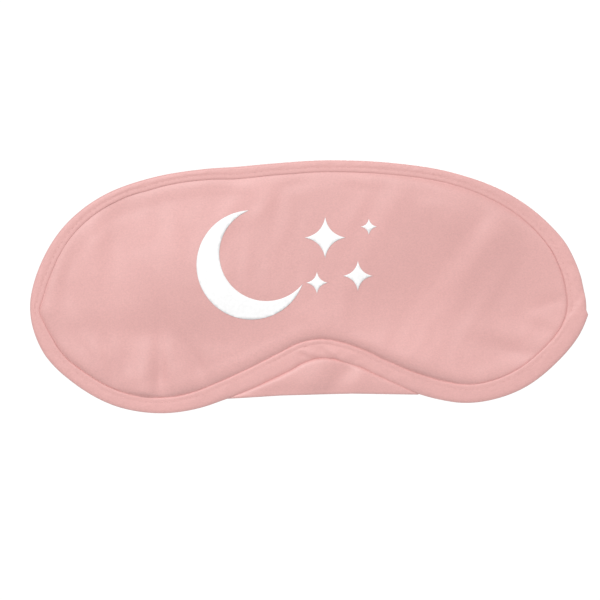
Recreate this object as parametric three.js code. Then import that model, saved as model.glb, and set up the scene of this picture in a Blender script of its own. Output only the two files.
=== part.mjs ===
// Sleep eye mask: a padded satin mask with a bound edge, a nose flap and an adjustable elastic strap.
// Millimetres. +X is the wearer's left, +Z is up, the front faces -Y and the face lies on the +Y side.
// The origin is the centre of the back lining at the height of the temples.
import * as THREE from "three";
import { mergeVertices } from "three/addons/utils/BufferGeometryUtils.js";

// Outline of the mask, anticlockwise from the top: x, z and the width of the binding there.
const OUTLINE = [
  [6, 55.5, 4.2], [-15, 54.2, 4.3], [-36, 52.6, 4.1], [-58, 49, 4.1], [-76.5, 42, 4.4],
  [-90.5, 30.5, 4.7], [-99.5, 15, 4.9], [-102.3, 0, 4.5], [-97.5, -15, 5.1], [-87, -25.8, 5.6],
  [-72, -34.4, 5.7], [-56, -37.4, 5.9], [-42, -36, 6.6], [-30.5, -32.3, 7], [-20, -28.4, 7.6],
  [-9, -23.3, 8], [2.5, -17.8, 7.6], [13.5, -19, 7], [28, -25.2, 6.8], [42.5, -31, 7.3],
  [59.5, -33.6, 7.1], [77.5, -28.9, 7.3], [91.3, -18.5, 7.4], [100, -7, 7.4], [102.3, 5, 7.2],
  [97.5, 19, 6.2], [88, 32.3, 5.5], [72.5, 43.7, 5], [52, 51.2, 4.5], [30, 54.6, 4.4],
];
const OUTLINE_STEPS = 76;

// Layers, front to back, as y of their faces.
const FABRIC = 0.5;
const LAYER_GAP = 0.06;
const EDGE_BACK_Y = -0.9; // lining under the binding
const EDGE_FOAM = 1.5; // foam squeezed under the binding
const FOAM = 4.4; // foam at full loft
const PANEL_EDGE_INSET = 1.8;
const LEG_CLEARANCE = 0.3;

const TAPE = 0.5; // thickness of the bias tape
const TAPE_GAP = 0.1;
const TAPE_FOLD = 1.1; // depth of the tape's rounded outer fold

const THREAD = 0.4;
const STITCH_INSET = 1.8; // from the tape's inner edge

// Nose flap: doubled satin, sewn across the lining above the arch. Its outline, x and z.
const FLAP_HINGE_Z = -6;
const FLAP_OUTLINE = [
  [-40, FLAP_HINGE_Z], [-41, -23], [-37, -31], [-31, -32], [-10, -30.7], [16, -30], [40, -30.4],
  [46, -28.5], [49, -21], [48, FLAP_HINGE_Z],
];
const FLAP_Y = 0.45;
const FLAP_THICKNESS = 1.1;

// Elastic strap. Its halves bow back from the temples to the slider, which is on the middle.
const STRAP_Z = 4;
const STRAP_WIDTH = 12;
const ELASTIC = 1.1;
const STRAP_END_X = 99;
const STRAP_SEAT_X = 89; // the strap is sewn flat from here outwards
const STRAP_SEAT_Y = 0.3 + ELASTIC / 2;
const BOW = 50;
const BOW_END_X = 20;
const SLIP = 0.3; // gap between strap and slider
const PLY = ELASTIC + 0.5; // spacing of two plies laid together
const LOOP_FOLD_X = 26; // end of the ply folded back from the slider

// Slider with three upright bars and two windows.
const BAR = 3;
const WINDOW_WIDTH = 6.5;
const WINDOW_HEIGHT = 13;
const RIM = 2.5;
const SLIDER_THICKNESS = 2.4;
const SLIDER_CORNER = 2;

const TAIL_START_X = 12.5;
const TAIL_END_X = 44;
const TAIL_DROOP = 2; // how far the free end leans towards the mask

const TACK_WIDTH = 1.6;
const TACK_LIFT = 0.2;
const LOOP_TACK_X = 23;
const TAIL_TACK_X = 39;

// White film on the front: a crescent moon and four-pointed stars, as x, z and radius.
const FILM = 0.15;
const FILM_GAP = 0.02;
const MOON = [-21, 17, 20];
const MOON_BITE = [-15.5, 21, 17.2];
const STARS = [[6, 27, 7.5], [18, 13, 5.5], [3, 10.5, 4], [22, 31, 3]];

const colour = (hex, roughness, metalness = 0) =>
  new THREE.MeshStandardMaterial({ color: hex, roughness, metalness });
const materials = {
  satin: colour(0xe0aeab, 0.45),
  binding: colour(0xe3adab, 0.6),
  foam: colour(0xece3d4, 0.95),
  thread: colour(0xe6b4b1, 0.6),
  film: colour(0xffffff, 0.5),
  elastic: colour(0xe2b0ad, 0.8),
  plastic: colour(0xe6bcb9, 0.35),
};

const part = new THREE.Group();

function add(name, geometry, material) {
  const mesh = new THREE.Mesh(geometry, material);
  mesh.name = name;
  part.add(mesh);
  return mesh;
}

// Outline samples with inward normals and the width of the binding.
function sampleOutline(steps) {
  const edge = new THREE.CatmullRomCurve3(
    OUTLINE.map(([x, z, tape]) => new THREE.Vector3(x, z, tape)), true, "centripetal");
  const points = edge.getSpacedPoints(steps).slice(0, steps);
  return points.map((p, i) => {
    const ahead = points[(i + 1) % steps];
    const behind = points[(i + steps - 1) % steps];
    const inward = new THREE.Vector2(behind.y - ahead.y, ahead.x - behind.x).normalize();
    return { x: p.x, z: p.y, tape: p.z, inward };
  });
}
const EDGE = sampleOutline(OUTLINE_STEPS);

// A closed solid from rings of points, each ring a list of [x, y, z], joined in order.
function skin(rings, closed) {
  const count = rings[0].length;
  const positions = rings.flat(2);
  const faces = [];
  const last = closed ? rings.length : rings.length - 1;
  for (let r = 0; r < last; r++) {
    const a = r * count;
    const b = ((r + 1) % rings.length) * count;
    for (let i = 0; i < count; i++) {
      const j = (i + 1) % count;
      faces.push(a + i, a + j, b + j, a + i, b + j, b + i);
    }
  }
  if (!closed) {
    capRing(rings[0], 0, false, faces);
    capRing(rings.at(-1), (rings.length - 1) * count, true, faces);
  }
  const geometry = new THREE.BufferGeometry();
  geometry.setAttribute("position", new THREE.Float32BufferAttribute(positions, 3));
  geometry.setIndex(faces);
  return mergeVertices(geometry, 1e-4);
}

// Flat lid over a ring: a fan on a band's square end, otherwise a triangulation in the XZ plane.
function capRing(ring, offset, reversed, faces) {
  const flat = ring.map(([x, , z]) => new THREE.Vector2(x, z));
  const square = [[0, 1, 2], [0, 2, 3]];
  const lid = ring.length === 4 ? square : THREE.ShapeUtils.triangulateShape(flat, []);
  for (const [a, b, c] of lid) {
    faces.push(...(reversed ? [a, b, c] : [a, c, b]).map((k) => k + offset));
  }
}

// The outline moved inwards to a depth that may depend on the binding's width, at one y.
function ring(inset, y) {
  return EDGE.map(({ x, z, tape, inward }) => {
    const d = inset(tape);
    return [x + inward.x * d, y, z + inward.y * d];
  });
}

const underEdge = () => PANEL_EDGE_INSET;
const pastBinding = (extra) => (tape) => tape + LEG_CLEARANCE + extra;

// Heights of a layer's face from the edge inwards: [inset, share of the loft].
const LOFT = [[underEdge, 0], [pastBinding(0), 0], [pastBinding(3), 0.45], [pastBinding(7.5), 0.85],
  [pastBinding(13), 1]];
const BACK_LOFT = [[underEdge, 0], [pastBinding(0), 0], [pastBinding(5), 1]];

const face = (loft, edgeY, middleY) =>
  loft.map(([inset, share]) => ring(inset, edgeY + (middleY - edgeY) * share));

// A layer between a back face and a front face.
function layer(backFace, frontFace) {
  return skin([...backFace.reverse(), ...frontFace], false);
}

const liningFront = { edge: EDGE_BACK_Y - FABRIC, middle: -FABRIC };
const foamBack = { edge: liningFront.edge - LAYER_GAP, middle: liningFront.middle - LAYER_GAP };
const foamFront = { edge: foamBack.edge - EDGE_FOAM, middle: foamBack.middle - FOAM };
const panelBack = { edge: foamFront.edge - LAYER_GAP, middle: foamFront.middle - LAYER_GAP };
const panelFront = { edge: panelBack.edge - FABRIC, middle: panelBack.middle - FABRIC };

function addLayers() {
  add("back_lining", layer(face(BACK_LOFT, EDGE_BACK_Y, 0),
    face(BACK_LOFT, liningFront.edge, liningFront.middle)), materials.satin);
  add("foam_core", layer(face(BACK_LOFT, foamBack.edge, foamBack.middle),
    face(LOFT, foamFront.edge, foamFront.middle)), materials.foam);
  add("front_panel", layer(face(LOFT, panelBack.edge, panelBack.middle),
    face(LOFT, panelFront.edge, panelFront.middle)), materials.satin);
}

// Bias tape: a folded strip whose section wraps the edge, swept round the outline.
const tapeFront = panelFront.edge - TAPE_GAP - TAPE;
const tapeBack = EDGE_BACK_Y + TAPE_GAP + TAPE;

function addBinding() {
  const middle = (tapeFront + tapeBack) / 2;
  const full = (tape) => tape;
  const at = (inset) => () => inset;
  const section = [
    [full, tapeBack], [at(TAPE_FOLD), tapeBack], [at(0.3), tapeBack - 0.7], [at(0), middle],
    [at(0.3), tapeFront + 0.7], [at(TAPE_FOLD), tapeFront], [full, tapeFront],
    [full, tapeFront + TAPE], [at(TAPE_FOLD + 0.2), tapeFront + TAPE],
    [at(TAPE_FOLD - 0.3), middle],
    [at(TAPE_FOLD + 0.2), tapeBack - TAPE], [full, tapeBack - TAPE],
  ];
  add("edge_binding", skin(section.map(([inset, y]) => ring(inset, y)), true), materials.binding);
}

// One row of thread round the binding, standing proud of a face at y.
function threadRing(y, out) {
  const near = (tape) => tape - STITCH_INSET;
  const far = (tape) => tape - STITCH_INSET - THREAD;
  const low = y + out * 0.02;
  const high = y + out * THREAD;
  const loops = [ring(near, low), ring(far, low), ring(far, high), ring(near, high)];
  return skin(out > 0 ? loops.reverse() : loops, true);
}

function addBindingStitches() {
  add("stitch_front", threadRing(tapeFront, -1), materials.thread);
  add("stitch_back", threadRing(tapeBack, 1), materials.thread);
}

// A shape in the XZ plane, made solid from y to y + thickness.
function plate(shape, y, thickness) {
  const settings = { depth: thickness, bevelEnabled: false, curveSegments: 6 };
  return new THREE.ExtrudeGeometry(shape, settings).rotateX(Math.PI / 2)
    .translate(0, y + thickness, 0);
}

const toVectors = (points) => points.map(([a, b]) => new THREE.Vector2(a, b));

function addFlap() {
  const outline = new THREE.Shape(toVectors(FLAP_OUTLINE));
  add("nose_flap", plate(outline, FLAP_Y, FLAP_THICKNESS), materials.satin);
  const [left] = FLAP_OUTLINE[0];
  const [right] = FLAP_OUTLINE.at(-1);
  const row = new THREE.BoxGeometry(right - left - 4, THREAD, THREAD);
  row.translate((left + right) / 2, FLAP_Y, FLAP_HINGE_Z + 2 * THREAD);
  add("flap_stitch", row, materials.thread);
}

// y of the middle of the relaxed strap at x, for either half.
function bowAt(x) {
  const share = (STRAP_SEAT_X - Math.abs(x)) / (STRAP_SEAT_X - BOW_END_X);
  const eased = (1 - Math.cos(Math.PI * THREE.MathUtils.clamp(share, 0, 1))) / 2;
  return STRAP_SEAT_Y + (BOW - PLY / 2 - STRAP_SEAT_Y) * eased;
}

// A strap half from the sewn end to the slider, as [x, y], for the side of the given sign.
function strapRun(sign) {
  const steps = 12;
  const run = [[sign * STRAP_END_X, STRAP_SEAT_Y], [sign * (STRAP_SEAT_X + 4), STRAP_SEAT_Y]];
  for (let i = 0; i <= steps; i++) {
    const x = STRAP_SEAT_X + (BOW_END_X - STRAP_SEAT_X) * (i / steps);
    run.push([sign * x, bowAt(x)]);
  }
  return run;
}

const BAND_STEPS = 3; // between two points of a band's route

// A band of elastic along points in the XY plane, standing upright.
function band(points) {
  const steps = (points.length - 1) * BAND_STEPS;
  const spaced = new THREE.SplineCurve(toVectors(points)).getPoints(steps);
  const low = STRAP_Z - STRAP_WIDTH / 2;
  const high = STRAP_Z + STRAP_WIDTH / 2;
  const rings = spaced.map((p, i) => {
    const ahead = spaced[Math.min(i + 1, steps)];
    const behind = spaced[Math.max(i - 1, 0)];
    const out = new THREE.Vector2(behind.y - ahead.y, ahead.x - behind.x)
      .setLength(ELASTIC / 2);
    const near = [p.x + out.x, p.y + out.y];
    const far = [p.x - out.x, p.y - out.y];
    return [[...near, high], [...far, high], [...far, low], [...near, low]];
  });
  return skin(rings, false);
}

// Distance from the slider's middle plane to a strap laid over or under a bar.
const OVER_BAR = SLIDER_THICKNESS / 2 + SLIP + ELASTIC / 2;
const OVER_LOOP = OVER_BAR + ELASTIC + SLIP;
const OUTER_BAR_X = BAR / 2 + WINDOW_WIDTH; // inner face of an outer bar
const SLIDER_HALF = OUTER_BAR_X + BAR;

function addStrapRight() {
  const turn = OUTER_BAR_X - SLIP - ELASTIC / 2;
  const loop = [
    [SLIDER_HALF, BOW - OVER_BAR], [OUTER_BAR_X + 0.9, BOW - OVER_BAR],
    [turn + 0.3, BOW - OVER_BAR + 0.4], [turn, BOW], [turn + 0.3, BOW + OVER_BAR - 0.4],
    [OUTER_BAR_X + 0.9, BOW + OVER_BAR], [SLIDER_HALF, BOW + OVER_BAR],
    [(SLIDER_HALF + BOW_END_X) / 2, BOW + OVER_BAR - 0.4],
    [BOW_END_X, bowAt(BOW_END_X) + PLY], [LOOP_FOLD_X, bowAt(LOOP_FOLD_X) + PLY],
  ];
  add("strap_right", band([...strapRun(1), ...loop]), materials.elastic);
}

// y of the middle of the free end at x.
function tailAt(x) {
  const share = (x - SLIDER_HALF) / (TAIL_END_X - SLIDER_HALF);
  return BOW + OVER_LOOP - TAIL_DROOP * share ** 2;
}

// The left half goes over one outer bar, under the middle bar and out over the loop of the right half.
function addStrapLeft() {
  const weave = [
    [-SLIDER_HALF, BOW + OVER_BAR], [-OUTER_BAR_X - 0.6, BOW + OVER_BAR],
    [-OUTER_BAR_X + 0.5, BOW + OVER_BAR - 0.3], [-(BAR + WINDOW_WIDTH) / 2, BOW],
    [-BAR / 2 - 0.5, BOW - OVER_BAR + 0.3], [0, BOW - OVER_BAR],
    [BAR / 2 + 0.5, BOW - OVER_BAR + 0.3], [BAR / 2 + 2.5, BOW + 0.7],
    [OUTER_BAR_X - 1, tailAt(SLIDER_HALF) - 0.3], [SLIDER_HALF, tailAt(SLIDER_HALF)],
    [TAIL_START_X - SLIP, tailAt(TAIL_START_X)],
  ];
  add("strap_left", band([...strapRun(-1), ...weave]), materials.elastic);
}

function addTail() {
  const run = [];
  for (const share of [0, 0.3, 0.65, 1]) {
    const x = THREE.MathUtils.lerp(TAIL_START_X, TAIL_END_X, share);
    run.push([x, tailAt(x)]);
  }
  add("strap_tail", band(run), materials.elastic);
}

function addSlider() {
  const height = WINDOW_HEIGHT / 2 + RIM;
  const shape = roundedRectangle(0, SLIDER_HALF, height, SLIDER_CORNER);
  for (const sign of [-1, 1]) {
    const middle = sign * (BAR + WINDOW_WIDTH) / 2;
    shape.holes.push(roundedRectangle(middle, WINDOW_WIDTH / 2, WINDOW_HEIGHT / 2, 0.8));
  }
  const slider = plate(shape, BOW - SLIDER_THICKNESS / 2, SLIDER_THICKNESS);
  add("strap_slider", slider.translate(0, 0, STRAP_Z), materials.plastic);
}

// A rectangle about (middle, 0) with rounded corners, from its half sizes.
function roundedRectangle(middle, halfWidth, halfHeight, radius) {
  const shape = new THREE.Shape();
  const x = halfWidth - radius;
  const y = halfHeight - radius;
  const corners = [[x, y, 0], [-x, y, 1], [-x, -y, 2], [x, -y, 3]];
  for (const [cx, cy, quarter] of corners) {
    const start = quarter * Math.PI / 2;
    shape.absarc(middle + cx, cy, radius, start, start + Math.PI / 2, false);
  }
  return shape;
}

// A short upright bar of thread standing just off a strap face that looks towards +Y.
function addTack(name, x, y) {
  const bar = new THREE.BoxGeometry(TACK_WIDTH, THREAD, STRAP_WIDTH - 1);
  add(name, bar.translate(x, y + THREAD / 2 + TACK_LIFT, STRAP_Z), materials.thread);
}

function addTacks() {
  const onSeat = STRAP_SEAT_Y + ELASTIC / 2;
  const seam = STRAP_END_X - 3;
  addTack("bar_tack_left", -seam, onSeat);
  addTack("bar_tack_right", seam, onSeat);
  addTack("loop_stitch", LOOP_TACK_X, bowAt(LOOP_TACK_X) + PLY + ELASTIC / 2);
  addTack("tail_stitch", TAIL_TACK_X, tailAt(TAIL_TACK_X) + ELASTIC / 2);
}

function addPrint() {
  const y = panelFront.middle - FILM_GAP - FILM;
  const [mx, mz, mr] = MOON;
  const [bx, bz, br] = MOON_BITE;
  const gap = Math.hypot(bx - mx, bz - mz);
  const towards = Math.atan2(bz - mz, bx - mx);
  const outer = Math.acos((gap ** 2 + mr ** 2 - br ** 2) / (2 * gap * mr));
  const inner = Math.PI - Math.acos((gap ** 2 + br ** 2 - mr ** 2) / (2 * gap * br));
  const moon = new THREE.Shape();
  moon.absarc(mx, mz, mr, towards + outer, towards - outer + 2 * Math.PI, false);
  moon.absarc(bx, bz, br, towards - inner, towards + inner, true);
  add("print_moon", plate(moon, y, FILM), materials.film);
  STARS.forEach(([x, z, radius], i) => {
    add(`print_star_${i + 1}`, plate(star(x, z, radius), y, FILM), materials.film);
  });
}

// A four-pointed star with hollow sides.
function star(x, z, radius) {
  const shape = new THREE.Shape();
  shape.moveTo(x + radius, z);
  for (let point = 1; point <= 4; point++) {
    const angle = point * Math.PI / 2;
    shape.quadraticCurveTo(x, z, x + radius * Math.cos(angle), z + radius * Math.sin(angle));
  }
  return shape;
}

addLayers();
addBinding();
addBindingStitches();
addFlap();
addStrapRight();
addStrapLeft();
addTail();
addSlider();
addTacks();
addPrint();

export default part;
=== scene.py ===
"""Looks of the sleep eye mask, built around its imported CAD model. Lengths here are millimetres until a
mesh is made. The front faces -Y, the wearer's face is on the +Y side, and +Z is up."""

import math

import bmesh
import bpy
import numpy as np
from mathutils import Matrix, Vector, noise
from mathutils.geometry import delaunay_2d_cdt
from mathutils.kdtree import KDTree


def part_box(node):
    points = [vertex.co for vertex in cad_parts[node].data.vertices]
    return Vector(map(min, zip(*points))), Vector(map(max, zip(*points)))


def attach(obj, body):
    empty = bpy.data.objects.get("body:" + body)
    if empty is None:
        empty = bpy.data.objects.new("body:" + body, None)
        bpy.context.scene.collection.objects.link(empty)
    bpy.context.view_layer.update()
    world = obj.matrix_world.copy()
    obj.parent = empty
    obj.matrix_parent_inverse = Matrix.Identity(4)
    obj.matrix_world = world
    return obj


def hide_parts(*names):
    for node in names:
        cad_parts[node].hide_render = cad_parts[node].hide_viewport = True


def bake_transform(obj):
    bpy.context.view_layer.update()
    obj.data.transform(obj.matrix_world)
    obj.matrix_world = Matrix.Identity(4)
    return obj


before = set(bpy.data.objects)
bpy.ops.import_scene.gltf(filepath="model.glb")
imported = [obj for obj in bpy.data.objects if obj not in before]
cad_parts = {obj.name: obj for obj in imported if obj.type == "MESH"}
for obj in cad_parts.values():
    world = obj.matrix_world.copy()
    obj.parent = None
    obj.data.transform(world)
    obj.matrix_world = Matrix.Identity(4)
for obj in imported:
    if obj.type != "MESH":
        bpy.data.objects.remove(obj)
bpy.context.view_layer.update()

MM = 0.001

# View: the width seen at the mask, and the point that the camera looks at.
VIEW_WIDTH = 220.4
VIEW_CENTRE = (-3.2, -2.5, 4.18)
LENS = 120.0
SENSOR = 36.0

# Thickness of the tape and of one ply of satin.
TAPE = 0.45
SATIN = 0.35
# How far the front panel lies below the tape at its edge.
SEAM_SINK = 0.34
# How much thinner the mask is at the back along the nose arch.
ARCH_THINNING = 1.9
# The binding's stitches: how far they lie from the tape's inner edge, and their length with the gap.
STITCH_INSET = 1.8
STITCH_PITCH = 2.3
# Samples round the mask's edge.
LOOP_COUNT = 900


# ---------------------------------------------------------------- camera, light and floor

def add_camera():
    data = bpy.data.cameras.new("camera")
    data.lens = LENS
    data.sensor_width = SENSOR
    camera = bpy.data.objects.new("camera", data)
    bpy.context.scene.collection.objects.link(camera)
    distance = VIEW_WIDTH * LENS / SENSOR
    x, y, z = VIEW_CENTRE
    camera.location = Vector((x, y - distance, z)) * MM
    camera.rotation_euler = (math.pi / 2, 0, 0)
    bpy.context.scene.camera = camera


# The point that the softboxes face, in metres.
LIT_POINT = (0, 0, 0.01)


def add_area(name, location, size, watts):
    """A square softbox that faces the mask."""
    data = bpy.data.lights.new(name, "AREA")
    data.energy = watts
    data.size = size
    light = bpy.data.objects.new(name, data)
    bpy.context.scene.collection.objects.link(light)
    light.location = location
    aim = Vector(LIT_POINT) - Vector(location)
    light.rotation_euler = aim.to_track_quat("-Z", "Y").to_euler()


def add_studio():
    """A white surround, seen a little brighter than it lights, and three softboxes."""
    scene = bpy.context.scene
    scene.view_settings.view_transform = "Standard"
    world = bpy.data.worlds.new("studio")
    scene.world = world
    world.use_nodes = True
    nodes = world.node_tree.nodes
    links = world.node_tree.links
    nodes.clear()
    seen = nodes.new("ShaderNodeBackground")
    seen.inputs["Color"].default_value = (1, 1, 1, 1)
    seen.inputs["Strength"].default_value = 1.05
    lighting = nodes.new("ShaderNodeBackground")
    lighting.inputs["Color"].default_value = (1, 1, 1, 1)
    lighting.inputs["Strength"].default_value = 0.45
    path = nodes.new("ShaderNodeLightPath")
    mix = nodes.new("ShaderNodeMixShader")
    out = nodes.new("ShaderNodeOutputWorld")
    links.new(path.outputs["Is Camera Ray"], mix.inputs[0])
    links.new(lighting.outputs[0], mix.inputs[1])
    links.new(seen.outputs[0], mix.inputs[2])
    links.new(mix.outputs[0], out.inputs[0])
    add_area("key_softbox", (-0.65, -1.55, 1.1), 0.75, 27.2)
    add_area("side_fill", (1.5, -0.9, 0.9), 0.8, 6.0)
    add_area("back_fill", (0.4, 1.6, 1.0), 1.0, 24.0)


def add_floor():
    """A pale disc well below the mask."""
    bpy.ops.mesh.primitive_circle_add(vertices=96, radius=0.68, fill_type="NGON", location=(0, 0, -0.6))
    floor = bpy.context.object
    floor.name = "studio_floor"
    material = bpy.data.materials.new("floor")
    material.use_nodes = True
    shader = material.node_tree.nodes["Principled BSDF"]
    shader.inputs["Base Color"].default_value = (0.8, 0.8, 0.8, 1)
    shader.inputs["Roughness"].default_value = 0.9
    shader.inputs["Emission Color"].default_value = (1, 1, 1, 1)
    shader.inputs["Emission Strength"].default_value = 0.1
    floor.data.materials.append(material)


# ---------------------------------------------------------------- materials

def shader_material(name, colour, roughness):
    material = bpy.data.materials.new(name)
    material.use_nodes = True
    shader = material.node_tree.nodes["Principled BSDF"]
    shader.inputs["Base Color"].default_value = (*colour, 1)
    shader.inputs["Roughness"].default_value = roughness
    return material, shader


class Nodes:
    """Short calls for building one material's nodes in object coordinates."""

    def __init__(self, material):
        self.tree = material.node_tree
        self.place = self.new("ShaderNodeTexCoord").outputs["Object"]

    def new(self, kind, **values):
        node = self.tree.nodes.new(kind)
        for key, value in values.items():
            setattr(node, key, value)
        return node

    def link(self, a, b):
        self.tree.links.new(a, b)

    def noise(self, per_mm, detail=3.0, stretch=(1, 1, 1)):
        mapping = self.new("ShaderNodeMapping")
        mapping.inputs["Scale"].default_value = stretch
        self.link(self.place, mapping.inputs["Vector"])
        node = self.new("ShaderNodeTexNoise")
        node.inputs["Scale"].default_value = per_mm / MM
        node.inputs["Detail"].default_value = detail
        self.link(mapping.outputs[0], node.inputs["Vector"])
        return node.outputs["Fac"]

    def wave(self, per_mm, direction="X", distortion=0.0):
        node = self.new("ShaderNodeTexWave", wave_type="BANDS", bands_direction=direction)
        node.inputs["Scale"].default_value = per_mm / MM * math.pi / 10
        node.inputs["Distortion"].default_value = distortion
        self.link(self.place, node.inputs["Vector"])
        return node.outputs["Fac"]

    def ramp(self, value, low, high, dark, bright):
        node = self.new("ShaderNodeValToRGB")
        node.color_ramp.elements[0].position = low
        node.color_ramp.elements[1].position = high
        node.color_ramp.elements[0].color = (*dark, 1)
        node.color_ramp.elements[1].color = (*bright, 1)
        self.link(value, node.inputs["Fac"])
        return node.outputs["Color"]

    def paint(self, shader, value, dark, bright):
        """Base colour that goes from dark to bright with a noise's value."""
        self.link(self.ramp(value, 0.3, 0.7, dark, bright), shader.inputs["Base Color"])

    def scaled(self, value, factor):
        node = self.new("ShaderNodeMath", operation="MULTIPLY")
        self.link(value, node.inputs[0])
        node.inputs[1].default_value = factor
        return node.outputs[0]

    def added(self, a, b):
        node = self.new("ShaderNodeMath", operation="ADD")
        self.link(a, node.inputs[0])
        self.link(b, node.inputs[1])
        return node.outputs[0]

    def vary_roughness(self, shader, value, spread, lowest):
        node = self.new("ShaderNodeMath", operation="MULTIPLY_ADD")
        self.link(value, node.inputs[0])
        node.inputs[1].default_value = spread
        node.inputs[2].default_value = lowest
        self.link(node.outputs[0], shader.inputs["Roughness"])

    def multiply_colours(self, a, b):
        node = self.new("ShaderNodeMix", data_type="RGBA", blend_type="MULTIPLY")
        node.inputs[0].default_value = 1.0
        self.link(a, node.inputs[6])
        self.link(b, node.inputs[7])
        return node.outputs[2]

    def bump(self, height, depth_mm, after=None):
        node = self.new("ShaderNodeBump")
        node.inputs["Strength"].default_value = 1.0
        node.inputs["Distance"].default_value = depth_mm * MM
        self.link(height, node.inputs["Height"])
        if after is not None:
            self.link(after, node.inputs["Normal"])
        return node.outputs["Normal"]


def cloth_material(name, colour, roughness, shine, mottle=0.05, weave_depth=0.05):
    """Satin weave: fine crossed floats, a grain of uneven yarns and a slow change of tone."""
    material, shader = shader_material(name, colour, roughness)
    shader.inputs["Sheen Weight"].default_value = 0.12
    shader.inputs["Sheen Roughness"].default_value = 0.45
    shader.inputs["Specular IOR Level"].default_value = shine
    n = Nodes(material)
    slow = n.noise(0.035, 2.0)
    grain = n.noise(2.2, 3.0, (0.7, 1, 1))
    tone = n.ramp(slow, 0.3, 0.7, (1 - mottle,) * 3, (1, 1, 1))
    speckle = n.ramp(grain, 0.3, 0.7, (1 - mottle * 2.2,) * 3, (1, 1, 1))
    base = n.ramp(n.noise(0.02, 1.0), 0.35, 0.65, tuple(c * 0.985 for c in colour), colour)
    painted = n.multiply_colours(n.multiply_colours(base, tone), speckle)
    n.link(painted, shader.inputs["Base Color"])
    warp = n.noise(1.6, 1.0, (1, 1, 0.25))
    weft = n.noise(1.6, 1.0, (0.25, 1, 1))
    weave = n.added(n.scaled(warp, 0.5), n.scaled(weft, 0.5))
    n.link(n.bump(weave, weave_depth), shader.inputs["Normal"])
    n.vary_roughness(shader, n.noise(0.12, 2.0), 0.12, roughness - 0.06)
    return material


def thread_material():
    material, shader = shader_material("thread", (0.78, 0.45, 0.43), 0.55)
    shader.inputs["Sheen Weight"].default_value = 0.3
    n = Nodes(material)
    n.paint(shader, n.noise(1.5), (0.70, 0.38, 0.36), (0.80, 0.47, 0.45))
    n.link(n.bump(n.wave(3.0, "DIAGONAL"), 0.05), shader.inputs["Normal"])
    return material


def foam_material():
    material, shader = shader_material("foam", (0.85, 0.78, 0.68), 0.95)
    n = Nodes(material)
    n.paint(shader, n.noise(0.8, 5.0), (0.72, 0.64, 0.53), (0.88, 0.81, 0.71))
    n.link(n.bump(n.noise(1.8, 4.0), 0.25), shader.inputs["Normal"])
    return material


def film_material():
    material, shader = shader_material("print_film", (0.93, 0.93, 0.93), 0.42)
    n = Nodes(material)
    n.paint(shader, n.noise(0.9, 2.0), (0.92, 0.92, 0.92), (0.97, 0.97, 0.97))
    n.link(n.bump(n.noise(1.4, 2.0), 0.015), shader.inputs["Normal"])
    return material


def elastic_material():
    """Woven elastic: ribs along the band come from the mesh, the picks across them from here, as bumps
    with painted shade in their hollows.
    """
    material, shader = shader_material("elastic", (0.76, 0.44, 0.42), 0.8)
    shader.inputs["Sheen Weight"].default_value = 0.3
    n = Nodes(material)
    picks = n.wave(1.4, "X", 0.6)
    # Painted shade: the base colour follows the picks' bump, darker where it is low, in the hollows
    # between the picks.
    n.link(n.ramp(picks, 0.2, 0.9, (0.66, 0.37, 0.35), (0.80, 0.48, 0.46)), shader.inputs["Base Color"])
    fuzz = n.bump(n.noise(2.2, 3.0), 0.05)
    n.link(n.bump(picks, 0.12, after=fuzz), shader.inputs["Normal"])
    return material


def plastic_material():
    material, shader = shader_material("slider_plastic", (0.80, 0.50, 0.48), 0.32)
    n = Nodes(material)
    n.paint(shader, n.noise(0.15, 2.0), (0.78, 0.48, 0.46), (0.81, 0.51, 0.49))
    n.link(n.bump(n.noise(1.2, 3.0), 0.02), shader.inputs["Normal"])
    n.vary_roughness(shader, n.noise(0.4, 3.0), 0.15, 0.25)
    return material


# ---------------------------------------------------------------- mesh helpers

def make_object(name, vertices, faces, material):
    """A smooth-shaded object from points in millimetres."""
    mesh = bpy.data.meshes.new(name)
    mesh.from_pydata([tuple(c * MM for c in v) for v in vertices], [], [tuple(f) for f in faces])
    mesh.validate()
    mesh.update()
    mesh.materials.append(material)
    for polygon in mesh.polygons:
        polygon.use_smooth = True
    made = bpy.data.objects.new(name, mesh)
    bpy.context.scene.collection.objects.link(made)
    return made


def rings_mesh(rings, closed_rings, closed_ring):
    """Points and quads of rings laid one after another. Either direction can run round to its start."""
    count = len(rings[0])
    vertices = [p for ring in rings for p in ring]
    faces = []
    for r in range(len(rings) if closed_rings else len(rings) - 1):
        a = r * count
        b = (r + 1) % len(rings) * count
        for i in range(count if closed_ring else count - 1):
            j = (i + 1) % count
            faces.append((a + i, b + i, b + j, a + j))
    return vertices, faces


def fix_normals(target, join=0.0):
    """Turns all faces outwards, after joining the points that lie closer together than join."""
    work = bmesh.new()
    work.from_mesh(target.data)
    if join > 0:
        bmesh.ops.remove_doubles(work, verts=work.verts, dist=join)
    bmesh.ops.recalc_face_normals(work, faces=work.faces)
    work.to_mesh(target.data)
    work.free()


def fractal(x, y, z, seed, octaves=3):
    """Smooth noise from about -1 to 1."""
    return noise.fractal(Vector((x + seed * 17.3, y - seed * 5.1, z + seed * 3.7)), 0.8, 2.0, octaves)


# ---------------------------------------------------------------- the mask's edge, from the CAD binding

def node_points(name):
    """A CAD node's distinct corners in millimetres."""
    points = np.array([v.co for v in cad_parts[name].data.vertices], float) / MM
    return np.unique(points.round(3), axis=0)


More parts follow.
